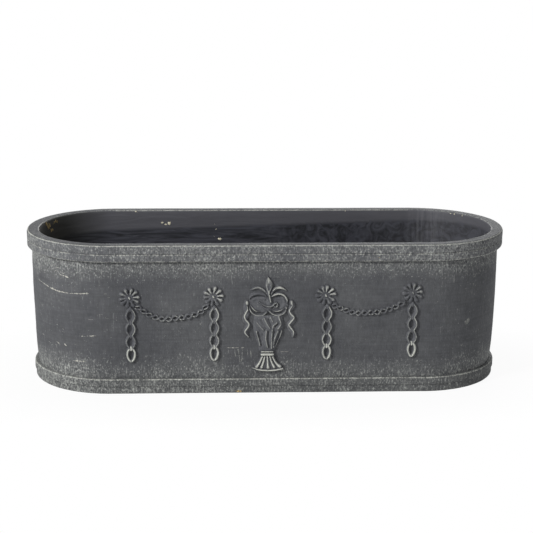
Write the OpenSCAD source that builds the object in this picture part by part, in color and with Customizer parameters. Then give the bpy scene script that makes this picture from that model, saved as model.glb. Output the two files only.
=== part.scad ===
// Oval-ended planter trough with a moulded rim, a moulded plinth and applied relief on its front.
// The origin is the middle of the underside. +X runs along the length, and the relief faces -Y.

/* [Body] */
// Length over the rim
rim_length = 600; // [540:5:900]
// Width over the rim
rim_width = 215; // [180:5:260]
// Height from the underside to the top of the rim
body_h = 188; // [182:1:260]
// Thickness of the wall, measured level
wall_t = 9; // [6:0.5:14]
// How far the wall draws in from under the rim to the top of the plinth
wall_draft = 4.8; // [2:0.1:8]
// Thickness of the floor slab
floor_t = 14; // [9:1:20]
// Diameter of each drain hole
drain_d = 12; // [8:1:25]
// Distance between the two drain holes
drain_spacing = 220; // [100:10:300]

/* [Rim] */
// How far the rim stands out past the wall
rim_out = 6.5; // [5:0.5:12]
// Height of the cap slab
cap_h = 11; // [8:0.5:16]
// Radius of the cap's outer top edge
cap_nose_r = 3.5; // [1:0.5:5]
// Radius of the cap's inner top edge
cap_inner_r = 2; // [0.5:0.5:4]
// Radius of the cap's lower edge, which forms the groove above the bead
cap_groove_r = 2; // [0.5:0.5:3]
// Height of the bead under the cap
bead_h = 10; // [8:0.5:16]
// How far the bead's face lies behind the cap's
bead_set = 0.2; // [0:0.2:2]
// Radius of the bead's upper edge, which widens the groove under the cap
bead_groove_r = 1.5; // [0.5:0.5:3]
// Radius of the bead's lower edge
bead_edge_r = 3.5; // [1:0.5:4]

/* [Plinth] */
// Height of the plinth
plinth_h = 19; // [16:1:30]
// How far the plinth stands out past the foot of the wall
plinth_out = 5.2; // [4:0.2:10]
// Radius of the edges of the plinth's bead
plinth_edge_r = 3; // [1:0.5:4]
// Height of the plain band under the plinth's bead
band_h = 9.5; // [6:0.5:12]
// How far the plain band lies behind the bead
band_set = 1.4; // [0.4:0.2:2.4]
// Depth of the groove over the plain band
band_groove = 0.8; // [0.4:0.1:1.5]
// Radius of the bottom edge
toe_r = 1.5; // [0.5:0.5:3]

/* [Rosettes and drops] */
// Height of the rosettes' centres above the plinth
rosette_rise = 105.5; // [98:0.5:112]
// Distance of the outer rosettes from the ends of the flat front
rosette_margin = 21; // [18:1:40]
// Distance of the inner rosettes from the middle
rosette_inner_x = 68; // [60:1:80]
// Radius of a rosette
rosette_r = 13.5; // [11:0.5:16]
// Petals on a rosette
petals = 10; // [8:1:12]
// Width of a petal at its tip
petal_w = 5.2; // [4:0.2:6]
// Radius of the boss in the middle of a rosette
boss_r = 2.6; // [2:0.1:3.5]
// Links in a drop
drop_links = 4; // [3:1:5]
// Height from link to link in a drop
drop_pitch = 16.6; // [12:0.2:18]
// Width of a drop's links
drop_w = 13; // [10:0.5:16]
// Width of the rib that forms a drop's links
drop_rib = 2.6; // [2:0.1:3.5]

/* [Swags] */
// Links in a swag
swag_links = 12; // [8:1:14]
// Width of a swag's links
swag_w = 6.2; // [5:0.2:8]
// Width of the rib that forms a swag's links
swag_rib = 1.6; // [1.2:0.1:2]
// How far a swag sags
swag_sag = 11; // [6:0.5:16]
// Slope of a swag where it leaves its rosette
swag_angle = 49; // [40:1:60]

/* [Urn group] */
// Height of the urn's foot above the plinth
foot_rise = 8.4; // [4:0.2:12]
// Height of the urn's foot
foot_h = 20.5; // [16:0.5:24]
// Width of the urn's foot
foot_w = 39; // [30:1:48]
// Height of the collar between foot and urn
collar_h = 6; // [4:0.5:8]
// Width of the collar
collar_w = 17; // [14:0.5:20]
// Height of the draped urn
urn_h = 48; // [42:1:54]
// Width of the draped urn
urn_w = 36.4; // [30:0.4:42]
// Height of the bow's loops
bow_h = 30; // [26:1:34]
// Width of one loop of the bow
bow_w = 21.8; // [20:0.2:23]
// Distance between the centres of the bow's loops
bow_span = 25.6; // [25:0.2:28]
// Height of the bud on top
bud_h = 24.5; // [20:0.5:28]
// Width of the bud
bud_w = 9.8; // [8:0.2:12]
// Width of the ribbon tails
tail_w = 4.6; // [3:0.2:6]

/* [Relief] */
// Thickness of the relief's ground layer
ground_t = 1.6; // [1:0.1:3]
// Thickness of the relief at its ridges
ridge_t = 2.6; // [1.5:0.1:4]
// Thickness of the urn at its middle
urn_t = 6; // [4:0.5:9]
// Gap between a piece of relief and its neighbour
relief_gap = 0.4; // [0.2:0.1:0.8]
// Thin line of slip that joins the relief, and the floor slab, to the wall
slip_t = 0.05; // [0.05:0.05:0.2]

/* [Hidden] */
// Sides of a circle where none are given
$fn = 64;
// Flats in the height of the wall's slow curve
wall_steps = 12;
half_w = rim_width / 2;
half_straight = (rim_length - rim_width) / 2;
wall_r = half_w - rim_out;
wall_top = body_h - cap_h;
head_z = wall_top - bead_h;
// Radius of an upright curve that comes in by run over a height of rise, upright at one end
function swell_r(run, rise) = (run * run + rise * rise) / (2 * run);
wall_rise = head_z - plinth_h;
// The wall's face draws in slowly under the rim and faster towards the plinth, by this power
wall_curve = 3;
// How far the wall's face lies behind its head, and its slope, at a height
function inset(z) = wall_draft * pow((head_z - z) / wall_rise, wall_curve);
function lean(z) = atan(wall_draft / wall_rise * wall_curve * pow((head_z - z) / wall_rise, wall_curve - 1));
foot_r = wall_r - wall_draft;
slab_r = foot_r - wall_t - slip_t;
cap_w = rim_out + wall_t;
bead_d = rim_out - bead_set;
// What is taken away reaches this far past the surface
cut = 1;

// The relief is pressed on by hand: how far each rosette, drop and swag lies from its true place
rosette_slip = [[2.8, -1.9], [0.3, -0.8], [0.5, 0.1], [2.7, 2.5]];
drop_slip = [0.9, 1.1, 2, 0.1];
swag_slip = [1.2, -1.2];
urn_slip = -1.2;
rosette_x = [-half_straight + rosette_margin, -rosette_inner_x, rosette_inner_x,
             half_straight - rosette_margin];
rosette_z = plinth_h + rosette_rise;
function rosette_at(i) = [rosette_x[i], rosette_z] + rosette_slip[i];

// Link ends lap over their neighbours' by this much
drop_lap = 1;
swag_lap = 1.6;
boss_t = ridge_t + 0.6;
ridge_set = 0.7;
petal_root = 2.2;
petal_root_w = 2;

// Heights in the urn group, from the plinth up. The bow laps over the urn, and the bud's root over the bow
foot_z = plinth_h + foot_rise;
collar_z = foot_z + foot_h + relief_gap;
urn_z = collar_z + collar_h + relief_gap;
bow_rise = 11;
bow_z = urn_z + urn_h + bow_rise;
bud_sink = 5.5;
bud_z = bow_z + bow_h / 2 - bud_sink;
// The bud is widest at this share of its height
bud_widest = 0.64;
urn_belly_rise = 28.5;
urn_neck_w = collar_w + 1.6;
urn_edge_t = 2.4;
fold_t = 1;
collar_bead_t = 4;
collar_waist = 1;
bow_rib = 2.8;
knot_r = 4.6;
curl_r = 3.4;
curl_rib = 1.4;
leaf_span = 18;
leaf_rise = 10.5;
leaf_t = 3.2;
foot_ribs = 6;
foot_lip = 2.6;
foot_curve_r = 62;
tail_knob_r = 3.3;
// A tail is this much wider at its bends
tail_bend = 0.6;
// Bends of a ribbon tail, out from and down from its knob
tail_path = [[0, 0], [-1.6, -13], [2.4, -21.5], [-3.6, -29.5], [1.4, -38], [-2.6, -45]];

// Sweeps a section round the oval: its x is the distance from the middle line, its y the height
module sweep() {
    for (side = [-1, 1])
        translate([side * half_straight, 0, 0])
            rotate([0, 0, -90 * side])
                rotate_extrude(angle = 180, $fn = 128) children();
    for (side = [0, 1])
        mirror([0, side, 0])
            translate([-half_straight, 0, 0])
                rotate([90, 0, 90])
                    linear_extrude(2 * half_straight) children();
}

// The sliver that rounds off the top right corner at the origin, turned for the other corners
module corner(r, turn = 0) {
    rotate(turn)
        translate([-r, -r])
            difference() {
                square(r + cut);
                circle(r);
            }
}

// Puts flat-backed relief on the leaning front wall, its own x to the right and y up
module on_front(x, z) {
    translate([x, inset(z) - wall_r - slip_t, z])
        rotate([90 + lean(z), 0, 0]) children();
}

// Two layers of relief: the whole outline, then its middle drawn in from the edges
module relief(ground = ground_t, ridge = ridge_t) {
    linear_extrude(ground) children(0);
    linear_extrude(ridge) children(1);
}

module floor_slab() {
    color("#4a4a4d")
        difference() {
            linear_extrude(floor_t) {
                square([2 * half_straight, 2 * slab_r], center = true);
                for (side = [-1, 1])
                    translate([side * half_straight, 0]) circle(slab_r, $fn = 128);
            }
            for (side = [-1, 1])
                translate([side * drain_spacing / 2, 0, -cut])
                    cylinder(d = drain_d, h = floor_t + 2 * cut);
        }
}

// A section's side line from the ground up: upright at the foot, a slow curve, upright under the rim
function wall_side(r) = concat([[r - wall_draft, 0]],
    [for (k = [0:wall_steps])
        let (z = plinth_h + wall_rise * k / wall_steps)
        [r - inset(z), z]],
    [[r, wall_top]]);

module wall() {
    inner_side = wall_side(wall_r - wall_t);
    color("#5a5b5e")
        sweep()
            polygon(concat(wall_side(wall_r), [for (k = [len(inner_side) - 1:-1:0]) inner_side[k]]));
}

module plinth_moulding() {
    edge_r = min(plinth_edge_r, (plinth_h - band_h) / 2);
    color("#636466")
        sweep()
            translate([foot_r, 0])
                difference() {
                    union() {
                        square([plinth_out - band_set, band_h]);
                        translate([0, band_h]) square([plinth_out, plinth_h - band_h]);
                    }
                    translate([plinth_out, plinth_h]) corner(edge_r);
                    intersection() {
                        translate([plinth_out, band_h]) corner(edge_r, -90);
                        translate([0, band_h]) square(2 * plinth_out);
                    }
                    translate([plinth_out - band_set, band_h]) circle(band_groove);
                    translate([plinth_out - band_set, 0]) corner(toe_r, -90);
                }
}

module rim_bead() {
    color("#6b6c6e")
        sweep()
            translate([wall_r, head_z])
                difference() {
                    square([bead_d, bead_h]);
                    translate([bead_d, bead_h]) corner(bead_groove_r);
                    translate([bead_d, 0]) corner(bead_edge_r, -90);
                }
}

module rim_cap() {
    color("#6e6e70")
        sweep()
            translate([half_w, wall_top])
                difference() {
                    translate([-cap_w, 0]) square([cap_w, cap_h]);
                    translate([0, cap_h]) corner(cap_nose_r);
                    translate([-cap_w, cap_h]) corner(cap_inner_r, 90);
                    corner(cap_groove_r, -90);
                }
}

module petal(shrink = 0) {
    tip_r = petal_w / 2 - shrink;
    root_w = petal_root_w - shrink;
    tip_x = rosette_r - petal_w / 2;
    polygon([[petal_root, -root_w / 2], [tip_x, -tip_r], [tip_x, tip_r], [petal_root, root_w / 2]]);
    translate([tip_x, 0]) circle(tip_r, $fn = 32);
}

module rosette(i) {
    color("#77787a")
        on_front(rosette_at(i).x, rosette_at(i).y) {
            relief() {
                for (p = [0:petals - 1])
                    rotate(90 + (p + 0.5) * 360 / petals) petal();
                for (p = [0:petals - 1])
                    rotate(90 + (p + 0.5) * 360 / petals) petal(ridge_set);
            }
            cylinder(r = boss_r, h = boss_t);
        }
}

// A pointed oval, the overlap of two discs, drawn in by shrink all round
module pointed_oval(w, h, shrink = 0) {
    disc = swell_r(w / 2, h / 2);
    intersection_for (side = [-1, 1])
        translate([side * (disc - w / 2), 0]) circle(disc - shrink, $fn = 128);
}

module oval_links(rib, shrink) {
    for (k = [0:drop_links - 1])
        translate([0, -drop_pitch * (k + 0.5)])
            difference() {
                pointed_oval(drop_w, drop_pitch + 2 * drop_lap, shrink);
                pointed_oval(drop_w, drop_pitch + 2 * drop_lap, rib - shrink);
            }
}

module drop(i) {
    top_z = rosette_at(i).y - rosette_r - relief_gap - drop_lap;
    half_drop = drop_pitch * drop_links / 2;
    color("#7c7c7b")
        on_front(rosette_at(i).x + drop_slip[i], top_z - half_drop)
            translate([0, half_drop])
                relief() {
                    oval_links(drop_rib, 0);
                    oval_links(drop_rib, ridge_set);
                }
}

// A link with straight sides and round ends
module long_link(l, shrink) {
    w = swag_w - 2 * shrink;
    inner_w = swag_w - 2 * swag_rib + 2 * shrink;
    reach = (l - swag_w) / 2;
    difference() {
        union() {
            square([2 * reach, w], center = true);
            for (side = [-1, 1]) translate([side * reach, 0]) circle(d = w, $fn = 32);
        }
        square([2 * reach, inner_w], center = true);
        for (side = [-1, 1]) translate([side * reach, 0]) circle(d = inner_w, $fn = 32);
    }
}

// A swag hangs between two rosettes, its first and last links against their petals
module swag(first, sag) {
    link_reach = rosette_r + relief_gap + 0.75 * swag_w;
    away = link_reach * [cos(swag_angle), -sin(swag_angle)];
    start = rosette_at(first) + away;
    end = rosette_at(first + 1) + [-away.x, away.y];
    gaps = swag_links - 1;
    mid_z = (start.y + end.y - sag) / 2;
    color("#757677")
        on_front(0, mid_z)
            for (k = [0:gaps]) {
                u = k / gaps;
                step = (end - start) / gaps + [0, -4 * sag * (1 - 2 * u) / gaps];
                at = start + (end - start) * u + [0, -4 * sag * u * (1 - u) - mid_z];
                translate([at.x, at.y, 0])
                    rotate([0, 0, atan2(step.y, step.x)])
                        linear_extrude(k % 2 == 0 ? ridge_t : ground_t)
                            long_link(norm(step) + swag_lap, 0);
            }
}

// One curled leaf of the spray: a ring cut by a smaller ring set lower, so that it thins to its ends
module leaf() {
    leaf_r = swell_r(leaf_rise, leaf_span / 2);
    translate([-leaf_span / 2 - bud_w / 4, 0])
        difference() {
            intersection() {
                translate([0, leaf_rise - leaf_r]) circle(leaf_r, $fn = 96);
                translate([-leaf_span, 0]) square([2 * leaf_span, leaf_rise + cut]);
            }
            translate([0, leaf_rise - leaf_r - leaf_t]) circle(leaf_r, $fn = 96);
        }
}

module bud(shrink = 0) {
    shoulder_rise = bud_h * bud_widest;
    translate([0, shoulder_rise]) {
        intersection() {
            pointed_oval(bud_w, 2 * (bud_h - shoulder_rise), shrink);
            translate([-bud_w, 0]) square(2 * bud_w);
        }
        intersection() {
            pointed_oval(bud_w, 2 * shoulder_rise, shrink);
            translate([-bud_w, -2 * bud_w]) square(2 * bud_w);
        }
    }
}

module bud_and_leaves() {
    color("#7a7b7b")
        on_front(urn_slip, bud_z + bud_h / 2)
            translate([0, -bud_h / 2]) {
                relief(ground_t, ridge_t + ridge_set) {
                    bud();
                    bud(ridge_set);
                }
                for (side = [0, 1])
                    mirror([side, 0, 0])
                        translate([0, bud_h / 8, 0]) linear_extrude(ridge_t) leaf();
            }
}

// The outline of one loop of the bow, grown or shrunk all round
module bow_loop(grow = 0) {
    loop_r = bow_w / 2 + grow;
    rise = bow_h / 2 - bow_w / 2;
    square([2 * loop_r, 2 * rise], center = true);
    for (side = [-1, 1]) translate([0, side * rise]) circle(loop_r, $fn = 96);
}

module both_loops(grow = 0) {
    for (side = [-1, 1]) translate([side * bow_span / 2, 0]) bow_loop(grow);
}

module bow() {
    color("#77787a")
        on_front(urn_slip, bow_z) {
            for (side = [-1, 1])
                translate([side * bow_span / 2, 0, 0]) {
                    linear_extrude(ground_t) bow_loop();
                    linear_extrude(ridge_t + ridge_set)
                        difference() {
                            bow_loop();
                            bow_loop(-bow_rib);
                        }
                }
            cylinder(r = knot_r, h = ridge_t);
            translate([bow_span / 3, -bow_rib, 0])
                difference() {
                    cylinder(r = curl_r, h = ridge_t + ridge_set);
                    translate([0, 0, -cut]) cylinder(r = curl_r - curl_rib, h = ridge_t + 3 * cut);
                }
        }
}

module ribbon_tail(side) {
    knob_x = bow_span / 2 + bow_w / 2 + relief_gap + tail_knob_r;
    drop_h = -tail_path[len(tail_path) - 1].y;
    color("#7b7b7a")
        on_front(urn_slip + side * knob_x, bow_z + tail_knob_r / 2 - drop_h / 2)
            translate([0, drop_h / 2, 0])
                mirror([side < 0 ? 1 : 0, 0, 0]) {
                    linear_extrude(ridge_t) circle(tail_knob_r);
                    linear_extrude(ground_t)
                        for (k = [1:len(tail_path) - 1]) {
                            run = tail_path[k] - tail_path[k - 1];
                            translate(tail_path[k - 1])
                                rotate(atan2(run.y, run.x))
                                    translate([0, -tail_w / 2]) square([norm(run), tail_w]);
                            translate(tail_path[k]) circle(d = tail_w + tail_bend, $fn = 32);
                        }
                }
}

// The urn's outline from its neck up, cut clear of the bow's loops
module urn_outline() {
    side_r = swell_r((urn_w - urn_neck_w) / 2, urn_belly_rise);
    difference() {
        intersection() {
            translate([0, urn_belly_rise])
                pointed_oval(urn_w, 2 * sqrt(pow(side_r, 2) - pow(side_r - urn_w / 2, 2)));
            translate([-urn_w, 0]) square([2 * urn_w, urn_h]);
        }
        translate([0, bow_z - urn_z]) both_loops(relief_gap);
        translate([0, bow_z - urn_z]) circle(knot_r + relief_gap);
    }
}

// Upright folds that fan out from the neck
module urn_folds() {
    folds = 5;
    fold_w = 2;
    fold_top = urn_belly_rise + 6;
    for (k = [0:folds - 1]) {
        share = 2 * k / (folds - 1) - 1;
        neck_x = share * (urn_neck_w / 2 - fold_w);
        belly_x = share * (urn_w / 2 - 2 * fold_w);
        polygon([[neck_x - fold_w / 2, 0], [neck_x + fold_w / 2, 0],
                 [belly_x + fold_w / 2, fold_top], [belly_x - fold_w / 2, fold_top]]);
    }
}

// A slow round about an upright axis, from the edge's thickness to the full one at the middle
module urn_round(full) {
    round_r = swell_r(full - urn_edge_t, urn_w / 2);
    translate([0, -cut, full - round_r])
        rotate([-90, 0, 0]) cylinder(r = round_r, h = urn_h + 2 * cut, $fn = 256);
}

module draped_urn() {
    color("#6f7072")
        on_front(urn_slip, urn_z + urn_h / 2)
            translate([0, -urn_h / 2, 0]) {
                intersection() {
                    linear_extrude(urn_t + cut) urn_outline();
                    urn_round(urn_t - fold_t);
                }
                intersection() {
                    linear_extrude(urn_t + cut)
                        intersection() {
                            urn_outline();
                            urn_folds();
                        }
                    urn_round(urn_t);
                }
            }
}

module urn_collar() {
    ring_h = collar_h * 0.4;
    color("#8a8a86")
        on_front(urn_slip, collar_z + collar_h / 2)
            translate([0, -collar_h / 2, 0]) {
                linear_extrude(ridge_t)
                    translate([collar_waist - collar_w / 2, 0]) square([collar_w - 2 * collar_waist, collar_h]);
                for (z = [0, collar_h - ring_h])
                    linear_extrude(collar_bead_t)
                        translate([-collar_w / 2, z]) square([collar_w, ring_h]);
            }
}

module foot_outline() {
    side_rise = 5;
    intersection() {
        polygon([[-foot_w / 2, side_rise - foot_lip], [-foot_w / 2, side_rise],
                 [-collar_w / 2 + collar_waist, foot_h], [collar_w / 2 - collar_waist, foot_h],
                 [foot_w / 2, side_rise], [foot_w / 2, side_rise - foot_lip], [0, -foot_lip]]);
        translate([0, foot_curve_r]) circle(foot_curve_r, $fn = 256);
    }
}

module urn_foot() {
    rib_w = 1.8;
    rib_foot_w = 3;
    rib_t = ridge_t + 1.4;
    lip_t = ridge_t + 1;
    color("#8a8a86")
        on_front(urn_slip, foot_z + foot_h / 2)
            translate([0, -foot_h / 2, 0]) {
                linear_extrude(ridge_t) foot_outline();
                linear_extrude(lip_t)
                    difference() {
                        foot_outline();
                        translate([0, foot_curve_r]) circle(foot_curve_r - foot_lip, $fn = 256);
                    }
                linear_extrude(rib_t)
                    intersection() {
                        foot_outline();
                        for (k = [0:foot_ribs - 1]) {
                            share = (2 * k + 1) / foot_ribs - 1;
                            top_x = share * (collar_w / 2 - collar_waist);
                            low_x = share * (foot_w / 2 - collar_waist);
                            polygon([[top_x - rib_w / 2, foot_h], [top_x + rib_w / 2, foot_h],
                                     [low_x + rib_foot_w / 2, foot_lip], [low_x - rib_foot_w / 2, foot_lip]]);
                        }
                    }
            }
}

floor_slab();
wall();
plinth_moulding();
rim_bead();
rim_cap();
for (i = [0:3]) {
    rosette(i);
    drop(i);
}
swag(0, swag_sag + swag_slip[0]);  // swag_left
swag(2, swag_sag + swag_slip[1]);  // swag_right
bud_and_leaves();
bow();
ribbon_tail(-1);  // ribbon_tail_left
ribbon_tail(1);  // ribbon_tail_right
draped_urn();
urn_collar();
urn_foot();
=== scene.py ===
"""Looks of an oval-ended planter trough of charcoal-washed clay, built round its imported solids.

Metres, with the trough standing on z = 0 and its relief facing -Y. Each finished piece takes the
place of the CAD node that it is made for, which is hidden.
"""

import math
import random

import bmesh
import bpy
import numpy as np
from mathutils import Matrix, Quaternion, Vector


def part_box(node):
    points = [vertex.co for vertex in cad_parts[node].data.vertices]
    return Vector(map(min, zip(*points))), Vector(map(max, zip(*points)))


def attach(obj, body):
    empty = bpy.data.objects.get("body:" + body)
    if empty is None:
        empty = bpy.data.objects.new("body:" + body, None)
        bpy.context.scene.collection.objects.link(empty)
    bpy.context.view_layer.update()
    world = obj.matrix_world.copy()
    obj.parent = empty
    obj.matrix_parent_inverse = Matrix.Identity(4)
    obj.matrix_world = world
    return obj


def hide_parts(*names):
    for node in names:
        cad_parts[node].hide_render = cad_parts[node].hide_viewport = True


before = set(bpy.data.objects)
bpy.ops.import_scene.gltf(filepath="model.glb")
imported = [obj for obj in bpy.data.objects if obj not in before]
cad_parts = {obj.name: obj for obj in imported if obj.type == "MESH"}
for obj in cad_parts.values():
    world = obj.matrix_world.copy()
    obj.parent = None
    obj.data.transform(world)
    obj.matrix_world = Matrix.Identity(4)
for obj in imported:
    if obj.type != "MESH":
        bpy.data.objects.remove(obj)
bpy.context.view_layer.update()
scene = bpy.context.scene
dice = random.Random(7)
MM = 0.001

# Sizes read from the frame
CAP_LOW, CAP_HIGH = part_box("rim_cap")
BEAD_LOW, BEAD_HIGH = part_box("rim_bead")
WALL_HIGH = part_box("wall")[1]
PLINTH_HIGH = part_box("plinth_moulding")[1]
SLAB_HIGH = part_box("floor_slab")[1]
END_X = CAP_HIGH.x - CAP_HIGH.y
WALL_THICK = 9 * MM
FOOT_HALF = SLAB_HIGH.y + WALL_THICK
WALL_DRAFT = WALL_HIGH.y - FOOT_HALF
WALL_RISE = BEAD_LOW.z - PLINTH_HIGH.z

# Steps round each end, along each side and up the wall
END_STEPS = 72
SIDE_STEPS = 80
WALL_CUTS = 44

# Points this close are one, lines this close to a face lie on it, and faces that meet at less than
# the angle are shaded as one surface
SAME = 0.05 * MM
NEAR = 0.1 * MM
SMOOTH_ANGLE = math.radians(50)


def wall_half(z):
    """Half the width over the wall's outer face at a height. It draws in most near the foot."""
    fall = min(max((BEAD_LOW.z - z) / WALL_RISE, 0), 1)
    return WALL_HIGH.y - WALL_DRAFT * fall**3


def out_from_middle(p):
    """How far a point lies out from the line between the centres of the round ends."""
    return math.hypot(max(0, abs(p.x) - END_X), p.y)


def clear():
    bpy.ops.object.select_all(action="DESELECT")


def select(pieces):
    clear()
    for piece in pieces:
        piece.select_set(True)
    bpy.context.view_layer.objects.active = pieces[0]


def pick(test, kind="verts"):
    """Selects the vertices, edges or faces in edit mode whose middles pass the test."""
    mesh = bmesh.from_edit_mesh(bpy.context.object.data)
    for part in (mesh.verts, mesh.edges, mesh.faces):
        for item in part:
            item.select = False
    for item in getattr(mesh, kind):
        corners = [item] if kind == "verts" else item.verts
        if test(sum((v.co for v in corners), Vector()) / len(corners)):
            item.select_set(True)
    mesh.select_flush_mode()
    bmesh.update_edit_mesh(bpy.context.object.data)


def seal(tolerance):
    """Merges points this close, turns faces outward and leaves edit mode."""
    bpy.ops.mesh.select_all(action="SELECT")
    bpy.ops.mesh.remove_doubles(threshold=tolerance)
    bpy.ops.mesh.normals_make_consistent(inside=False)
    bpy.ops.object.mode_set(mode="OBJECT")


# The clay was pressed by hand, so that faces wander by about half a millimetre and edges by less
WANDER_DEPTH = 1.2 * MM
NICK_DEPTH = 0.5 * MM
wander = bpy.data.textures.new("hand_pressed", "CLOUDS")
wander.noise_scale = 70 * MM
wander.noise_depth = 1
nicks = bpy.data.textures.new("edge_nicks", "CLOUDS")
nicks.noise_scale = 9 * MM
nicks.noise_depth = 2


def hand_press(obj):
    bpy.context.view_layer.objects.active = obj
    for direction in "XY":
        for texture, strength in ((wander, WANDER_DEPTH), (nicks, NICK_DEPTH)):
            bend = obj.modifiers.new("hand", "DISPLACE")
            bend.texture = texture
            bend.strength = strength
            bend.direction = direction
            bend.texture_coords = "LOCAL"
            bpy.ops.object.modifier_apply(modifier=bend.name)


def crease_and_rub(mesh, rub):
    """Wear of relief at each vertex: from -1 in a crease to 0 out of it, and what rub adds where
    the relief faces out of the wall."""
    creases = []
    for v in mesh.verts:
        bends = [
            2 * v.normal.dot(v.co - e.other_vert(v).co) / e.calc_length() ** 2
            for e in v.link_edges
        ]
        creases.append(max(-1, min(0, min(bends)) * MM))
    wear = []
    for v in mesh.verts:
        beside = [creases[e.other_vert(v).index] for e in v.link_edges]
        crease = (creases[v.index] + sum(beside)) / (1 + len(beside))
        wear.append(crease + max(0, v.normal.z) * rub.data[v.index].value)
    return wear


# How far from an edge its rubbing fades
EDGE_RUB = 0.75 * MM


def mark_wear(obj, edges=()):
    """Stores the attribute wear, from -1 in creases, which are painted dark as pooled wash and
    shade, to 1 where it is rubbed off. A moulding is rubbed along edges, each given by its distance
    out, height and strength, and relief as its attribute rub says."""
    mesh = bmesh.new()
    mesh.from_mesh(obj.data)
    mesh.normal_update()
    rub = obj.data.attributes.get("rub")
    wear = crease_and_rub(mesh, rub) if rub else [0] * len(mesh.verts)
    for v in mesh.verts:
        for out, height, strength in edges:
            away = math.hypot(out_from_middle(v.co) - out, v.co.z - height)
            wear[v.index] += strength * math.exp(-((away / EDGE_RUB) ** 2))
    mesh.free()
    if rub:
        obj.data.attributes.remove(rub)
    wear = [max(-1, min(1, value)) for value in wear]
    obj.data.attributes.new("wear", "FLOAT", "POINT").data.foreach_set("value", wear)


def finish(obj, node=None):
    """Smooths a piece and enters it in the frame, in place of its CAD node if it has one."""
    select([obj])
    bpy.ops.object.shade_smooth_by_angle(angle=SMOOTH_ANGLE)
    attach(obj, "root")
    if node:
        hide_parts(node)


# Mouldings swept round the oval

# Their faces lie this far inside the CAD's, so that they can wander
CAP_BACK = 0.6 * MM
BEAD_BACK = 0.4 * MM
TOE_BACK = 0.4 * MM
# The cap reaches this far in to the mouth, and the bead and plinth this far into the wall
CAP_WIDTH = 15.5 * MM
LAP = 3 * MM
# The plain band at the foot of the plinth
BAND_BACK = 1.6 * MM
BAND_TOP = 9.5 * MM


def section(name, inner, outer, low, high):
    """Starts a sweep with an upright plate at the back, where the right-hand end begins, and
    leaves it in edit mode."""
    clear()
    bpy.ops.mesh.primitive_plane_add(size=1, location=(0, 0, 0))
    obj = bpy.context.object
    obj.name = name
    bpy.ops.object.mode_set(mode="EDIT")
    bpy.ops.mesh.select_all(action="SELECT")
    bpy.ops.transform.rotate(value=math.pi / 2, orient_axis="Y", center_override=(0, 0, 0))
    bpy.ops.transform.resize(value=(1, outer - inner, high - low), center_override=(0, 0, 0))
    bpy.ops.transform.translate(value=(END_X, (inner + outer) / 2, (low + high) / 2))
    return obj


def round_corner(y, z, radius, segments):
    pick(lambda p: abs(p.y - y) < SAME and abs(p.z - z) < SAME)
    bpy.ops.mesh.bevel(offset=radius, segments=segments, affect="VERTICES")


def cut_lines(test, cuts):
    """Cuts the section's straight lines whose middles pass the test."""
    pick(test, "edges")
    bpy.ops.mesh.subdivide(number_cuts=cuts)


def sweep():
    """Sweeps the section's outline round the right end, the front, the left end and the back."""
    bpy.ops.mesh.select_all(action="SELECT")
    bpy.ops.mesh.delete(type="ONLY_FACE")
    bpy.ops.mesh.select_all(action="SELECT")
    side = 2 * END_X / SIDE_STEPS
    for end in (1, -1):
        centre = (end * END_X, 0, 0)
        bpy.ops.mesh.spin(steps=END_STEPS, angle=math.pi, center=centre, axis=(0, 0, 1))
        for _ in range(SIDE_STEPS):
            bpy.ops.mesh.extrude_region_move(TRANSFORM_OT_translate={"value": (-end * side, 0, 0)})
    seal(SAME)


def rim_cap():
    inner = CAP_HIGH.y - CAP_WIDTH
    outer = CAP_HIGH.y - CAP_BACK
    obj = section("rim_cap_cast", inner, outer, CAP_LOW.z, CAP_HIGH.z)
    round_corner(outer, CAP_HIGH.z, 3 * MM, 7)
    round_corner(inner, CAP_HIGH.z, 2 * MM, 5)
    round_corner(outer, CAP_LOW.z, 1.2 * MM, 3)
    cut_lines(lambda p: p.z > CAP_HIGH.z - NEAR, 3)
    cut_lines(lambda p: p.y > outer - NEAR, 2)
    sweep()
    return obj


def rim_bead():
    outer = BEAD_HIGH.y - BEAD_BACK
    obj = section("rim_bead_cast", WALL_HIGH.y - LAP, outer, BEAD_LOW.z, BEAD_HIGH.z)
    round_corner(outer, BEAD_HIGH.z, 1.1 * MM, 3)
    round_corner(outer, BEAD_LOW.z, 2.8 * MM, 5)
    cut_lines(lambda p: p.y > outer - NEAR, 3)
    sweep()
    return obj


def wall():
    obj = section("wall_cast", WALL_HIGH.y - WALL_THICK, WALL_HIGH.y, 0, WALL_HIGH.z)
    bpy.ops.mesh.delete(type="ONLY_FACE")
    cut_lines(lambda p: abs(p.z - WALL_HIGH.z / 2) < NEAR, WALL_CUTS)
    mesh = bmesh.from_edit_mesh(obj.data)
    for v in mesh.verts:
        v.co.y -= WALL_HIGH.y - wall_half(v.co.z)
    sweep()
    return obj


def plinth_moulding():
    outer = PLINTH_HIGH.y - TOE_BACK
    band = PLINTH_HIGH.y - BAND_BACK
    obj = section("plinth_cast", FOOT_HALF - LAP, band, 0, BAND_TOP)
    pick(lambda p: p.z > BAND_TOP - NEAR, "edges")
    rise = PLINTH_HIGH.z - BAND_TOP
    bpy.ops.mesh.extrude_region_move(TRANSFORM_OT_translate={"value": (0, 0, rise)})
    pick(lambda p: p.z > BAND_TOP + NEAR and p.y > band - NEAR, "edges")
    bpy.ops.mesh.extrude_region_move(TRANSFORM_OT_translate={"value": (0, outer - band, 0)})
    bpy.ops.mesh.select_all(action="SELECT")
    bpy.ops.mesh.dissolve_faces()
    round_corner(outer, PLINTH_HIGH.z, 2.4 * MM, 6)
    round_corner(outer, BAND_TOP, 0.55 * MM, 3)
    round_corner(band, BAND_TOP, 0.55 * MM, 3)
    round_corner(band, 0, 1.5 * MM, 3)
    cut_lines(lambda p: p.y > outer - NEAR, 2)
    cut_lines(lambda p: abs(p.y - band) < NEAR, 2)
    sweep()
    return obj


# Relief on the front

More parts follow.
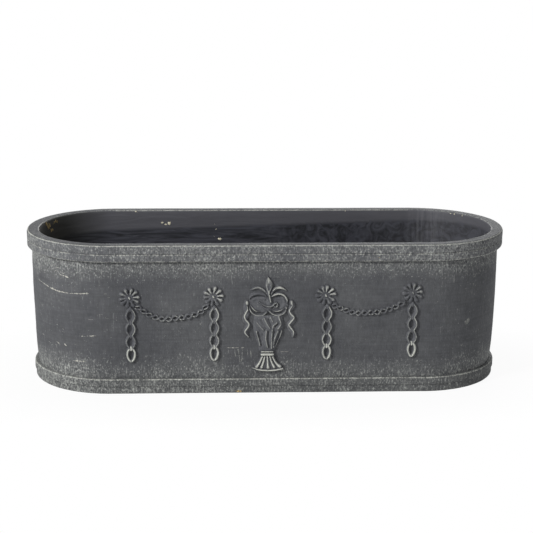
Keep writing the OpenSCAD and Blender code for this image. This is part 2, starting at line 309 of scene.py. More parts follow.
# It is given in millimetres, right and up from the ground in the middle of the front, cast flat as
# plates that start just inside the wall, and laid on the wall's face. Each point of a line carries
# right, up, half the rib's width, its height and how far it is rubbed pale. Each row of a body is
# how far up it lies, its middle, half its width and its height

# Spacing of a plate's grid and of a line's points
GRID_STEP = 0.4
LINE_STEP = 0.3
# The plate's margin round the relief, the depth from which that rises, how steeply its sides drop
# and how deep in the wall they are cut off
MARGIN = 1
GROUND = -3.0
SIDE_SLOPE = 4
BACK = 0.8
# Fullness of a rounded rib, of a petal and of a body. A smaller one is flatter on top
ROUNDED = 0.6
PETAL_FULL = 0.4
BODY_FULL = 0.35
BODY_RUB = 0.05
# How fast a rib gains its full size from its ends, and the share of its height that they keep
TAPER = 2.5
END_HIGH = 0.4
# How far each rosette and drop is rubbed, from the left
ROSETTE_RUB = (0.9, 1, 0.95, 0.6)
DROP_RUB = (0.75, 1, 1.05, 0.85)
PETALS = 10
LINKS = 4
# A swag's eyes between its ends, the share of an eye that its strands run on past them and the
# points to an eye
EYES = 11.4
RUN_ON = 0.3
EYE_POINTS = 6
# How far a strand swings aside, how much more it leans than the swag slopes, half its width, its
# height and how much that changes where it passes over or under the other
SWING = 2.8
LEAN = 1.6
STRAND_HALF = 1.35
STRAND_HIGH = 3.1
OVERLAP = 0.3


def line_through(points):
    """Closely spaced points on a smooth line through the given ones, with all they carry."""
    given = [np.array(p, float) for p in points]
    given = [2 * given[0] - given[1]] + given + [2 * given[-1] - given[-2]]
    line = []
    for before, start, end, after in zip(given, given[1:], given[2:], given[3:]):
        steps = max(2, math.ceil(math.dist(start[:2], end[:2]) / LINE_STEP))
        for t in (i / steps for i in range(steps)):
            curve = (2 * before - 5 * start + 4 * end - after) * t**2
            curve += (3 * start - before - 3 * end + after) * t**3
            line.append((2 * start + (end - before) * t + curve) / 2)
    return np.array(line + [given[-2]])


def rib(points, half, high, rub, ends=(1, 1), full=ROUNDED):
    """A rounded rib: half its width, its height, how far its crest is rubbed pale, which below zero
    paints it dark as shade, and the share of these that is left at its ends."""
    count = len(points) - 1
    sized = []
    for i, (x, z) in enumerate(points):
        t = i / count
        left = min(1, ends[0] + TAPER * t, ends[1] + TAPER * (1 - t))
        rise = high * (END_HIGH + (1 - END_HIGH) * left)
        sized.append((x, z, half * left, rise, rub * left))
    return line_through(sized), full


def plate(name, low, high):
    """A flat grid between two corners."""
    across, up = (math.ceil(v / GRID_STEP) for v in high - low)
    clear()
    bpy.ops.mesh.primitive_grid_add(
        x_subdivisions=across, y_subdivisions=up, size=1, location=(0, 0, 0)
    )
    obj = bpy.context.object
    obj.name = name
    bpy.ops.object.mode_set(mode="EDIT")
    bpy.ops.transform.resize(value=(*(MM * (high - low)), 1), center_override=(0, 0, 0))
    bpy.ops.transform.translate(value=(*(MM * (high + low) / 2), 0))
    bpy.ops.object.mode_set(mode="OBJECT")
    return obj


def carve(x, z, ribs, folds, body):
    """The height out of the wall at each place, and how far it is rubbed there."""
    depth = np.full(len(x), GROUND)
    rubbed = np.zeros(len(x))
    if body:
        rows = np.array(sorted(body))
        mid, half, rise = (np.interp(z, rows[:, 0], rows[:, k]) for k in (1, 2, 3))
        off = np.abs(x - mid)
        beyond = sum(np.clip(v, 0, None) for v in (off - half, z - rows[-1, 0], rows[0, 0] - z))
        dome = np.clip(1 - (off / half) ** 2, 0, None) ** BODY_FULL
        depth = np.maximum(depth, rise * dome - SIDE_SLOPE * beyond)
        rubbed += BODY_RUB
    for line, full in ribs:
        off = np.hypot(x[:, None] - line[:, 0], z[:, None] - line[:, 1])
        crest = np.clip(1 - (off / line[:, 2]) ** 2, 0, None)
        out = line[:, 3] * crest**full - SIDE_SLOPE * np.clip(off - line[:, 2], 0, None)
        first = out.argmax(axis=1)
        out = out.max(axis=1)
        rub = line[first, 4] * crest[np.arange(len(x)), first] ** (full / ROUNDED)
        rubbed = np.where(out > depth, rub, rubbed)
        depth = np.maximum(depth, out)
    for line, _ in folds:
        off = np.hypot(x[:, None] - line[:, 0], z[:, None] - line[:, 1]) / line[:, 2]
        nearest = off.argmin(axis=1)
        near = np.exp(-(off.min(axis=1) ** 2)) * (depth > 0)
        depth += near * line[nearest, 3]
        rubbed = np.maximum(rubbed, near * line[nearest, 4])
    return depth, rubbed


def shape_relief(name, ribs, folds=(), body=None, middle=0):
    """Casts one piece of relief, flat: x to the right, y up and z out of the wall."""
    corners = [
        line[:, :2] + side * (line[:, 2:3] + MARGIN) for line, _ in ribs for side in (-1, 1)
    ]
    if body:
        for side in (-1, 1):
            edge = [(mid + side * (half + MARGIN), z + side * MARGIN) for z, mid, half, _ in body]
            corners.append(np.array(edge))
    corners = np.concatenate(corners)
    obj = plate(name, corners.min(axis=0), corners.max(axis=0))

    place = np.empty(len(obj.data.vertices) * 3)
    obj.data.vertices.foreach_get("co", place)
    place = place.reshape(-1, 3)
    depth, rubbed = carve(place[:, 0] / MM, place[:, 1] / MM, ribs, folds, body)
    place[:, 0] += middle * MM
    place[:, 2] = depth * MM
    obj.data.vertices.foreach_set("co", place.ravel())
    obj.data.attributes.new("rub", "FLOAT", "POINT").data.foreach_set("value", rubbed)

    bpy.ops.object.mode_set(mode="EDIT")
    bpy.ops.mesh.select_all(action="SELECT")
    bpy.ops.mesh.vertices_smooth(factor=0.5, repeat=2)
    bpy.ops.mesh.bisect(
        plane_co=(0, 0, -BACK * MM),
        plane_no=(0, 0, 1),
        use_fill=True,
        clear_inner=True,
        threshold=0.001 * MM,
    )
    seal(0.02 * MM)
    return obj


def lay_on_wall(obj):
    """Moves each vertex from the flat to the wall, straight along the front and round the ends."""
    for v in obj.data.vertices:
        along, z, depth = v.co
        turn = max(0, abs(along) - END_X) / WALL_HIGH.y
        radius = wall_half(z) + depth
        straight = max(-END_X, min(END_X, along))
        around = math.copysign(radius * math.sin(turn), along)
        v.co = straight + around, -radius * math.cos(turn), z


def middle_of(node):
    """Right and up from the ground in the middle of the front, in millimetres."""
    low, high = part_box(node)
    return (low.x + high.x) / 2 / MM, (low.z + high.z) / 2 / MM


def rosette(number):
    """Ten petals, wide at their rounded tips and ridged along one side, round an oval boss on a
    low disc. Those that face the upper right are the highest and the most rubbed. Each ridge lies
    on the side that the key lamp lights, and its pale crest is partly a painted highlight."""
    x, z = middle_of(f"rosette_{number}")
    centre = np.array((x, z))
    worn = ROSETTE_RUB[number - 1]
    petals = [rib([(x - 0.5, z), (x + 0.5, z)], 6.6, 2.2, 0.1, full=0.35)]
    highlight_ridges = []
    for i in range(PETALS):
        angle = math.radians(360 / PETALS * i + 7 + dice.uniform(-4, 4))
        # 1 radian is to the upper right
        upper_right = math.cos(angle - 1)
        wide = dice.uniform(2.7, 3.1)
        rub = dice.uniform(0.75, 1.15) * (0.7 + 0.35 * upper_right) * worn
        press = 0.85 + 0.15 * upper_right
        reach = dice.uniform(13.2, 13.9)
        way = np.array((math.cos(angle), math.sin(angle)))
        # From the boss to the tip: how far out, half the width, the height and the share of rub
        sizes = (
            (2.8, 1, 2.2, 0.4),
            (6.5, 0.55 * wide, 2.9, 0.65),
            (reach - wide, 0.95 * wide, 3.4, 0.95),
        )
        spine = [
            (*(centre + out * way), half, press * high, rub * part)
            for out, half, high, part in sizes
        ]
        petals.append((line_through(spine), PETAL_FULL))
        # Its ridge lies along the side that faces up and a little left, towards the key lamp, and
        # its pale rubbed crest there is partly a painted highlight
        beside = np.array((-way[1], way[0])) * (0.3 if 0.85 * way[0] + 0.5 * way[1] > 0 else -0.3)
        highlight_ridge = [
            centre + out * way + wide * part * beside
            for out, part in ((5, 0.5), (8, 0.8), (reach - wide, 1))
        ]
        highlight_ridges.append(rib(highlight_ridge, 0.8, 0.5, 1.2 * rub))
    petals.append(rib([(x - 0.4, z + 0.8), (x + 0.4, z - 0.8)], 2, 3.9, 1.1 * worn))
    return shape_relief(f"rosette_cast_{number}", petals, highlight_ridges)


def drop(number):
    """Four pointed oval links joined by short necks. Each slopes in to a narrow eye, painted dark
    on its left as shadow, and the lowest, a plain ring that is blunt below, is rubbed the most."""
    x = middle_of(f"drop_{number}")[0]
    low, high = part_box(f"drop_{number}")
    foot, head = low.z / MM + 1.6, high.z / MM - 0.6
    pitch = (head - foot) / LINKS
    ribs = []
    for k in range(LINKS):
        top = head - k * pitch
        last = k == LINKS - 1
        wide = dice.uniform(3, 3.4)
        rub = 1.4 if last else dice.uniform(0.8, 1.1) * DROP_RUB[number - 1]
        # The eye's low floor, left of the middle, takes a rub of -1, which paints it dark: painted
        # shadow in the hole
        shadowed_eye_line = [(x - 0.8, top - 0.3 * pitch), (x - 0.8, top - 0.7 * pitch)]
        ribs.append(rib(shadowed_eye_line, 3, 0.4, -1, full=0.3))
        # Half the rib's width, the eye's share of the link, and how it narrows, leans and bulges
        half, share, narrow, lean, bulge = (
            (2.2, 0.93, 1.2, 0.85, 0.55) if last else (1.8, 0.86, 0, 1, 0.7)
        )
        for side in (-1, 1):
            path = []
            for t in (i / 8 for i in range(9)):
                eye = min(1, max(0, (t - 0.07) / share))
                out = (1.9 - narrow * t) + wide * math.sin(math.pi * eye**lean) ** bulge
                path.append((x + side * out, top - pitch * t))
            side_rub = rub * (0.85 + 0.15 * side) * dice.uniform(0.8, 1.1)
            ribs.append(rib(path, half, 3.6, side_rub))
            if side > 0 and not last:
                ribs.append(rib([(px - 1.1, pz) for px, pz in path], 2.5, 2.9, 0.25, full=0.8))
        neck_rub = 1.6 if last else 0.5 * rub
        ribs.append(rib([(x, top + 1.3), (x, top - 1.3)], 2.6, 3.4, neck_rub))
    return shape_relief(f"drop_cast_{number}", ribs)


def swag(name, path):
    """Two strands of clay twisted into a chain of twelve small eyes."""
    line = line_through(path)
    ends = np.concatenate([[0], np.cumsum(np.hypot(*np.diff(line, axis=0).T))])
    eye = ends[-1] / EYES
    strands = ([], [])
    # A little is added to the end, so that the last point is in the range
    for where in np.arange(-RUN_ON * eye, ends[-1] + (RUN_ON + 0.01) * eye, eye / EYE_POINTS):
        x, z = (np.interp(where, ends, line[:, i]) for i in (0, 1))
        # The slope is read 2 mm to either side
        ahead, behind = (
            [np.interp(where + off, ends, line[:, i]) for i in (0, 1)] for off in (2, -2)
        )
        slope = math.atan2(ahead[1] - behind[1], ahead[0] - behind[0])
        along = where - np.clip(where, 0, ends[-1])
        x, z = x + along * math.cos(slope), z + along * math.sin(slope)
        turn = math.pi * (where / eye + 0.5)
        aside = SWING * math.sin(turn)
        across = slope * LEAN + math.pi / 2
        for strand, side in zip(strands, (-1, 1)):
            out = side * aside
            place = (x + out * math.cos(across), z + out * math.sin(across))
            high = STRAND_HIGH + side * OVERLAP * math.cos(turn)
            strand.append((*place, STRAND_HALF, high, dice.uniform(0.15, 0.9)))
    return shape_relief(name, [(line_through(strand), ROUNDED) for strand in strands])


def bud_and_leaves():
    bud = [
        (-0.6, 147.6, 1, 2.2, 1), (-0.2, 143.7, 2.9, 3.2, 0.9), (0.3, 139.5, 4.9, 3.8, 0.6),
        (0.3, 135, 4.3, 3.4, 0.4), (0, 129.5, 2.5, 3, 0.5), (0.2, 123.6, 2, 2.8, 0.9),
    ]
    left = [
        (-21.2, 131.9, 0.8, 1.8, 0.4), (-17.2, 133.6, 1.9, 2.8, 0.6), (-12, 134.4, 2.3, 3.2, 0.7),
        (-6.8, 131.8, 2.2, 3.1, 0.6), (-3.2, 128.2, 1.7, 2.9, 0.5), (-1.2, 124.6, 1.2, 2.6, 0.5),
    ]
    right = [
        (22.6, 129.8, 0.7, 1.4, 0.4), (18.8, 132.2, 1.7, 2.6, 0.7), (13.6, 134.3, 2.4, 3.4, 1),
        (8.2, 133, 2.2, 3.2, 0.7), (4.6, 129.2, 1.6, 2.8, 0.5), (2.8, 124.6, 1.1, 2.4, 0.5),
    ]
    folds = [
        rib([(-0.8, 147.5), (-3, 142.5), (-3.4, 138), (-1.8, 131.5), (-0.5, 125)], 1, 0.8, 0.8),
        rib([(0.4, 146.5), (3.4, 141), (3.8, 137.5), (2.2, 131.5), (0.5, 125)], 0.9, 0.7, 0.8),
        rib([(0.4, 139), (0.3, 135.5), (0.2, 132)], 1.1, -1, 0),
        rib([(0.2, 131), (0.2, 124.5)], 0.9, 1, 1.1),
        rib([(-20, 133.4), (-16, 135), (-11.8, 135.8), (-7.2, 133.6), (-3.8, 130)], 0.9, 0.8, 0.7),
        rib([(21.2, 131.6), (18, 134), (13.4, 136), (8.6, 135), (5.2, 131.6)], 1, 0.8, 1.1),
        rib([(18.4, 130.6), (13, 132), (8.4, 131)], 1, -1, 0),
        rib([(-16, 132.4), (-11.5, 132.6), (-7, 130)], 0.9, -0.8, 0),
    ]
    return [(line_through(spine), ROUNDED) for spine in (bud, left, right)], folds


def bow():
    left = [(-0.6, 121.6), (-6, 126.4), (-14.6, 127.1), (-20.6, 124.8), (-22.8, 121)]
    left_under = [
        (-23.1, 111), (-22.4, 107.4), (-19.6, 103), (-14.5, 100.1), (-6.7, 100.2), (-2, 103.6),
    ]
    right = [(3.5, 123.4), (7.8, 126), (12.5, 127), (18.6, 125), (22.2, 119.5), (22.6, 115)]
    right_under = [
        (22.2, 110.5), (21, 105.6), (17.2, 101.5), (10.6, 99.8), (4.6, 101.9), (1.1, 105.4),
    ]
    curl = [
        (-11.1, 116.1), (-5.9, 112.9), (0.2, 111.1), (4.5, 111.9), (7, 114.6), (9.6, 115.5),
        (10.9, 113.3), (9.2, 110.6), (6.8, 111), (6.9, 113),
    ]
    ribs = [
        rib([(-15.3, 113.4), (-8, 113)], 10.4, 1.5, 0.05, full=0.3),
        rib([(8, 113), (14.3, 113.4)], 10.4, 1.7, 0.05, full=0.3),
        rib([(0.6, 119), (0.6, 108)], 4.4, 3.2, 0.2),
        rib(left, 2.1, 3.9, 0.35, (0.7, 0.5)),
        rib(left_under, 1.5, 3.6, 0.75, (0.5, 0.8)),
        rib(right, 2, 4.2, 1, (0.7, 0.4)),
        rib(right_under, 1.6, 3.8, 0.75, (0.4, 0.9)),
        rib(curl, 1.3, 4.8, 0.8, (0.5, 0.8)),
        rib([(-7.2, 110.4), (-1.6, 107.7), (3.2, 109.3)], 1.2, 4.3, 0.5, (0.5, 0.6)),
        rib([(0.9, 125.2), (1.5, 121), (2.5, 117.2)], 1.8, 4.8, 0.9),
        rib([(21.4, 109.6), (21.9, 108.6)], 1.8, 4.2, 0.8),
        rib([(-21.8, 112.8), (-18.6, 108.4), (-15.2, 105.6), (-10.6, 104.2)], 1.1, 4.1, 1.2,
            (0.5, 0.4)),
        rib([(4.4, 107), (8.9, 105.2), (14.1, 106), (19.8, 109)], 1.1, 4.1, 1, (0.5, 0.5)),
    ]
    hollows = [
        rib([(-15.5, 116), (-9, 114)], 6, -0.8, 0),
        rib([(9, 118.5), (15.5, 116)], 5, -0.9, 0),
        rib([(-19, 119), (-13, 121.5), (-6, 119.5)], 1.6, 0.7, 0.3),
        rib([(-17, 108.6), (-11, 107.2)], 1.4, 0.7, 0.3),
        rib([(17.6, 119.5), (18.6, 113.5), (16, 109)], 1.5, 0.7, 0.25),
    ]
    return ribs, hollows


def ribbon_tail(side):
    if side < 0:
        path = [
            (-26.4, 116), (-27.1, 109.4), (-25.4, 102.2), (-28.3, 94.8), (-24, 87.7),
            (-27.3, 79), (-23.9, 72),
        ]
        shine = [
            (-26, 113), (-25.2, 107), (-28.8, 100.4), (-27.6, 95.4), (-23.6, 90), (-24.2, 86),
            (-28.4, 80), (-27, 76), (-23.6, 72.2),
        ]
        knob = (-26.2, 116.8)
    else:
        path = [
            (28, 116), (30, 111.8), (26.4, 105), (30.4, 94.8), (25.8, 86.4), (30.2, 77.7),
            (30, 72.2),
        ]
        shine = [
            (29.6, 113.4), (25.6, 106.2), (27.2, 102), (31.2, 97.2), (27.2, 91.6), (25, 88),
            (27.4, 84.4), (30.8, 79), (30.4, 73),
        ]
        knob = (27.8, 116.8)
    ribs = [
        rib(path, 3.5, 2.8, 0.4, (0.9, 0.5)),
        rib([knob, (knob[0] + 0.4, knob[1] - 2)], 2.9, 3.9, 0.9),
    ]
    return ribs, [rib(shine, 1.1, 1.7, 1.5, (0.6, 0.6))]


def draped_urn():
    body = [
        (99.5, 0, 17.6, 4.2), (92, 0, 18.2, 4.6), (84, 0, 18.4, 4.7), (76, -0.2, 16.8, 4.7),
        (68, -0.8, 13.8, 4.5), (61, -1.2, 11.2, 4.2), (54.6, -1.4, 9.6, 3.7),
    ]
    folds = [
        rib([(-13.8, 91), (-9.8, 86), (-5.7, 82.1)], 1.1, 1.3, 0.6),
        rib([(-15, 86), (-11.5, 83.4), (-8.6, 79)], 1.6, -0.8, 0),
        rib([(-5, 97), (-1.6, 90), (2.1, 83.9)], 1.1, 1.5, 0.7),
        rib([(-8.6, 94), (-5.2, 88), (-2.6, 83.6)], 1.6, -0.9, 0),
        rib([(2.6, 97.6), (5.4, 92.5)], 1, 1.2, 0.7),
        rib([(0.4, 95), (3.4, 88)], 1.3, -1.2, 0),
        rib([(5.2, 81.1), (6.2, 87), (10.3, 90.4)], 1.1, 1.6, 0.8),
        rib([(8.6, 86.6), (10.6, 88)], 1.6, -1.5, 0),
        rib([(12.6, 99), (14.6, 92.9), (15.2, 88.3), (11.8, 83.5)], 1.3, 1.9, 0.8),
        rib([(-14.6, 80), (-12.6, 72), (-9.9, 61.9)], 1.1, 1.4, 0.8),
        rib([(-11.6, 78), (-9.4, 70), (-7.9, 62)], 1.7, -1.5, 0),
        rib([(-2.2, 80.8), (-3, 71.1), (-0.7, 59.6)], 1.1, 1.5, 0.8),
        rib([(0.6, 79), (-0.2, 71), (1.4, 61)], 1.6, -1.4, 0),
        rib([(4.3, 82), (4.4, 70), (4.1, 58)], 1.1, 1.4, 0.8),
        rib([(12, 80.6), (7.8, 70.1), (6.7, 59)], 1.1, 1.4, 0.8),
        rib([(14.2, 79.4), (11.2, 71), (8.4, 62)], 1.7, -1.5, 0),
        rib([(16.5, 80), (14, 71), (9.2, 60.6)], 1.1, 1.2, 0.9),
        rib([(-6.8, 77), (-6.6, 70), (-5, 61)], 1.6, -1, 0),
        rib([(7, 79), (6, 74), (5.6, 68)], 1, -1.4, 0),
    ]
    return [], folds, body


def urn_collar():
    body = [(48.2, -0.7, 7.6, 3.6), (54.2, -1, 8.4, 3.6)]
    upper = rib([(-7.9, 53.7), (5.9, 53.7)], 1.4, 5, 1.8)
    lower = rib([(-7.2, 50), (5.7, 50)], 2.5, 5.4, 2.2)
    return [upper, lower], [], body


def urn_foot():
    body = [
        (48, -0.8, 8, 3.2), (44, -0.8, 8.8, 3.4), (40, -0.7, 10.6, 3.6), (37, -0.4, 12.8, 3.6),
        (34, 0, 15.8, 3.6), (31.6, 0.2, 18.2, 3.2), (29.5, -0.2, 12, 2),
    ]
    lip = [(-18.6, 32.6), (-10, 30), (0.1, 29.1), (10, 29.6), (17.6, 31.3)]
    ribs = [rib(lip, 1.9, 4.5, 1.4, (0.7, 1))]
    for top, toe in ((-6.9, -13.8), (-3.9, -7.6), (-0.8, 0.3), (2.4, 7.6), (5.6, 14.4)):
        spread = toe - top
        low = 32.2 + 0.006 * toe**2
        flute = [
            (top, 47, 1.6, 4.6, 1.6),
            (top + 0.35 * spread, 41, 2, 4.8, 1.5),
            (top + 0.72 * spread, 36.6, 2.5, 5, 1.3),
            (toe, low + 1, dice.uniform(2.8, 3.3), 5.3, 1.2),
        ]
        ribs.append((line_through(flute), ROUNDED))
    return ribs, [], body


# Finishes of low-fired clay

# A wash of charcoal was wiped back, so that pale clay shows on edges and in specks
CLAY_IOR = 1.5
DUSTY = "#bfc1bb"
PITTED = "#2c2d30"
RUBBED = "#c5c6bd"
# Near black for creases and corners, where wash pooled and where shade is painted
GATHERED_WASH_AND_SHADE = "#242528"
# Sizes of the clouds of wash, its grain, the specks over grit, the streaks down the face and the
# sweeps of the brush along it. Grit is 0.3 mm and too fine to show, so a speck is drawn 2 mm across
# and dragged 3 mm long by the brush
CLOUD = 60 * MM
GRAIN = 7 * MM
SPECK = (1.8 * MM, 1.8 * MM, 2.7 * MM)
STREAK = (2.2 * MM, 2.2 * MM, 12 * MM)
SWEEP = (50 * MM, 50 * MM, 2.5 * MM)
# Sizes of the waves and curls of sealing coat, and of a dry brush's hairs
WAVE = (70 * MM, 70 * MM, 9 * MM)
CURL = 16 * MM
HAIR = (3 * MM, 3 * MM, 40 * MM)
# Crumbs of clay in a chip
CRUMB = 1.2 * MM
# What most of a noise lies between
MOST = {"From Min": 0.35, "From Max": 0.65}


def shade(code):
    """The linear colour of an sRGB hex value."""
    parts = [int(code[i : i + 2], 16) / 255 for i in (1, 3, 5)]
    return (*(p / 12.92 if p < 0.04045 else ((p + 0.055) / 1.055) ** 2.4 for p in parts), 1)


def put(tree, kind, inputs=None, **settings):
    """Adds a node. An input is a value or the output of another node."""
    node = tree.nodes.new("ShaderNode" + kind)
    for key, value in settings.items():
        setattr(node, key, value)
    for key, value in (inputs or {}).items():
        if isinstance(value, bpy.types.Node):
            value = value.outputs[0]
        if isinstance(value, bpy.types.NodeSocket):
            tree.links.new(value, node.inputs[key])
        else:
            node.inputs[key].default_value = value
    return node


def scales(sizes):
    """The scale along each axis that gives a pattern these sizes."""
    return tuple(1 / size for size in sizes)


def empty_tree(owner):
    owner.use_nodes = True
    owner.node_tree.nodes.clear()
    return owner.node_tree


def new_finish(name):
    material = bpy.data.materials.new(name)
    tree = empty_tree(material)
    return material, tree, put(tree, "TexCoord").outputs["Object"]


def surface(tree, roughness, specular, inputs):
    shader = {"IOR": CLAY_IOR, "Roughness": roughness, "Specular IOR Level": specular, **inputs}
    put(tree, "OutputMaterial", {"Surface": put(tree, "BsdfPrincipled", shader)})


def washed_clay(name, dark, light, dust, brushed, zones=(), corner_shade=(1.5, 0.25), patchy=0.4):
    """Charcoal wash over cream clay: matt and cloudy, with specks where the wash missed the grit,
    brush streaks down the face, cream where edges are rubbed and near black in creases and near
    corners, where wash pooled and where shade is painted. Dust is the least amount of pale specks
    and haze, and brushed how pale streaks are. A zone adds its weight of dust from one place to
    another along an axis. The corner shade is how far from a corner, in millimetres, ambient
    occlusion paints shade and pooled wash, and how much. Patchy is how unevenly edges are rubbed."""
    material, tree, place = new_finish(name)
    spot = put(tree, "SeparateXYZ", {0: place})
    drawn = []
    for size, roughness in ((CLOUD, 0.6), (GRAIN, 0.65)):
        noise = {"Vector": place, "Scale": 1 / size, "Detail": 4, "Roughness": roughness}
        drawn.append(put(tree, "TexNoise", noise))
    for sizes, detail, roughness in ((SPECK, 2, 0.6), (STREAK, 3, 0.7), (SWEEP, 3, 0.6)):
        along = put(tree, "Mapping", {"Vector": place, "Scale": scales(sizes)})
        noise = {"Vector": along, "Scale": 1, "Detail": detail, "Roughness": roughness}
        drawn.append(put(tree, "TexNoise", noise))
    clouds, fine, grit, streak, swept = drawn
    wear = put(tree, "Attribute", attribute_name="wear").outputs["Fac"]

    # Clouds of thicker and thinner wash, mottled by a seventh
    base = put(tree, "MapRange", {"Value": clouds, **MOST})
    base = put(tree, "MixRGB", {"Fac": base, "Color1": shade(dark), "Color2": shade(light)})
    mottle = put(tree, "Math", {0: fine, 1: swept}, operation="ADD")
    mottle = put(tree, "Math", {0: mottle, 1: streak}, operation="ADD")
    mottle = put(tree, "MapRange", {
        "Value": mottle, "From Min": 1.25, "From Max": 1.75, "To Min": 0.86, "To Max": 1.14,
    })
    base = put(tree, "MixRGB", {"Fac": 1, "Color1": base, "Color2": mottle}, blend_type="MULTIPLY")

    # Dust in specks, strokes and haze
    amount = put(tree, "MapRange", {
        "Value": clouds, "From Min": 0.38, "From Max": 0.64, "To Min": dust, "To Max": dust + 0.5,
    })
    for axis, start, end, weight in zones:
        zone = {"Value": spot.outputs[axis], "From Min": start, "From Max": end, "To Max": weight}
        zone = put(tree, "MapRange", zone, interpolation_type="SMOOTHSTEP")
        amount = put(tree, "Math", {0: amount, 1: zone}, operation="ADD")
    specks = put(tree, "Math", {0: amount, 1: 0.07, 2: grit}, operation="MULTIPLY_ADD")
    specks = put(tree, "MapRange", {"Value": specks, "From Min": 0.615, "From Max": 0.73})
    some = put(tree, "MapRange", {
        "Value": amount, "From Min": -1.1, "From Max": 0.5, "To Min": 0.25, "To Max": 0.8,
    })
    specks = put(tree, "Math", {0: specks, 1: some}, operation="MULTIPLY")
    strokes = put(tree, "Math", {0: amount, 1: 0.07, 2: streak}, operation="MULTIPLY_ADD")
    strokes = put(tree, "MapRange", {
        "Value": strokes, "From Min": 0.625, "From Max": 0.72, "To Max": brushed,
    })
    haze = put(tree, "Math", {0: amount, 1: 0.17}, operation="MULTIPLY", use_clamp=True)
    pale = put(tree, "Math", {0: specks, 1: strokes}, operation="MAXIMUM")
    pale = put(tree, "Math", {0: pale, 1: haze}, operation="ADD")
    pale = put(tree, "Math", {0: pale, 1: fine}, operation="MULTIPLY", use_clamp=True)
    pits = put(tree, "MapRange", {"Value": grit, "From Min": 0.45, "From Max": 0.36, "To Max": 0.5})
    pits = put(tree, "Math", {0: pits, 1: amount}, operation="MULTIPLY", use_clamp=True)

    # Clay bared on edges, and near black in creases and corners: pooled wash, and painted shade
    # from the curvature and from ambient occlusion
    bare = put(tree, "Math", {0: grit, 1: 1.4, 2: fine}, operation="MULTIPLY_ADD")
    bare = put(tree, "MapRange", {
        "Value": bare, "From Min": 0.8, "From Max": 1.6, "To Min": 1.2 - patchy,
        "To Max": 1.2 + patchy,
    })
    bared = put(tree, "Math", {0: wear, 1: bare}, operation="ADD")
    bared = put(tree, "MapRange", {
        "Value": bared, "From Min": 1.55, "From Max": 2.2, "To Max": 0.9,
    })
    crease = put(tree, "MapRange", {
        "Value": wear, "From Min": -0.1, "From Max": -0.7, "To Max": 0.5,
    })
    reach, gathered = corner_shade
    # Painted shade: ambient occlusion darkens what lies near a corner, along with the wash pooled
    # there
    open_share = put(tree, "AmbientOcclusion", {"Distance": reach * MM}, samples=8).outputs["AO"]
    painted_corner_shade = put(tree, "MapRange", {
        "Value": open_share, "From Min": 0.75, "From Max": 0.25, "To Max": gathered,
    })
    colour = base
    for share, code in (
        (pale, DUSTY), (pits, PITTED), (bared, RUBBED), (crease, GATHERED_WASH_AND_SHADE), (painted_corner_shade, GATHERED_WASH_AND_SHADE),
    ):
        colour = put(tree, "MixRGB", {"Fac": share, "Color1": colour, "Color2": shade(code)})

    rise = put(tree, "Math", {0: fine, 1: 1.2, 2: grit}, operation="MULTIPLY_ADD")
    bump = put(tree, "Bump", {"Height": rise, "Distance": 0.6 * MM, "Strength": 0.8})
    surface(tree, 0.8, 0.25, {"Base Color": colour, "Normal": bump})
    return material


